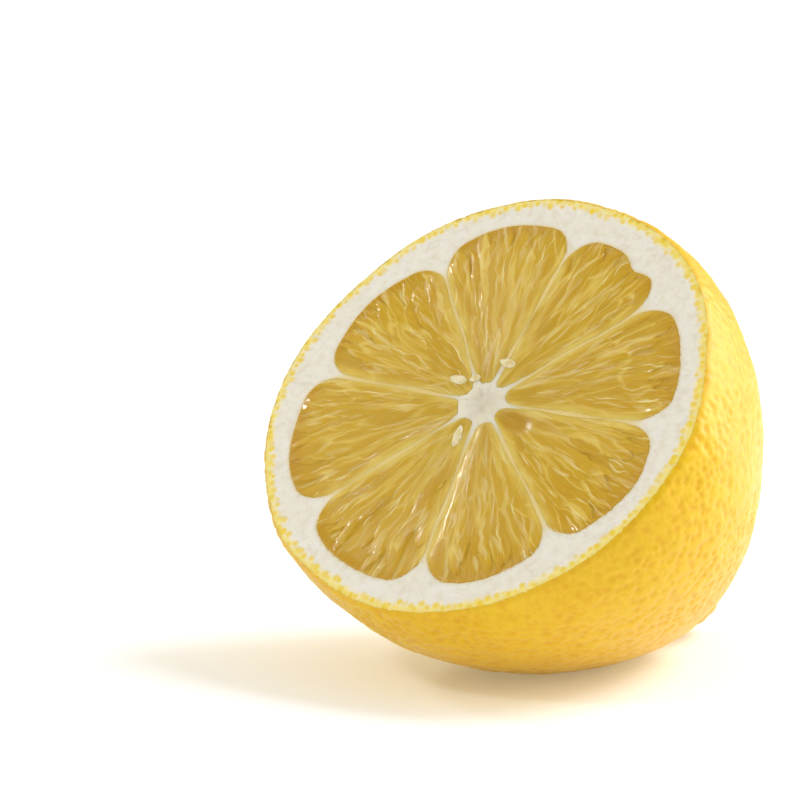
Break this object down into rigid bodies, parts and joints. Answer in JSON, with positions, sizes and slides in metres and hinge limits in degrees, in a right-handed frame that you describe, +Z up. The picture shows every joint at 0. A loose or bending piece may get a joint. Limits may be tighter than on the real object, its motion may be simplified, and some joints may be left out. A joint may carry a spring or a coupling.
{
  "type": "lemon half",
  "caption": "Half a fresh lemon, cut square across its middle, lying on its peel with the juicy cut face tilted up.",
  "frame": {"origin": "on the table, under the middle of the half's own bounding box", "axes": "+Z up, away from the table; the cut face looks towards -Y and up; the nipple at the fruit's end points towards +Y; +X is to the right when looking at the cut face"},
  "size_m": [0.0598, 0.0562, 0.0549],
  "materials": {
    "peel": "waxy, dimpled peel",
    "pith": "matt, fibrous",
    "pulp": "wet, translucent"
  },
  "bodies": {
    "root": {"lemon_half": "peel"}
  },
  "joints": []
}
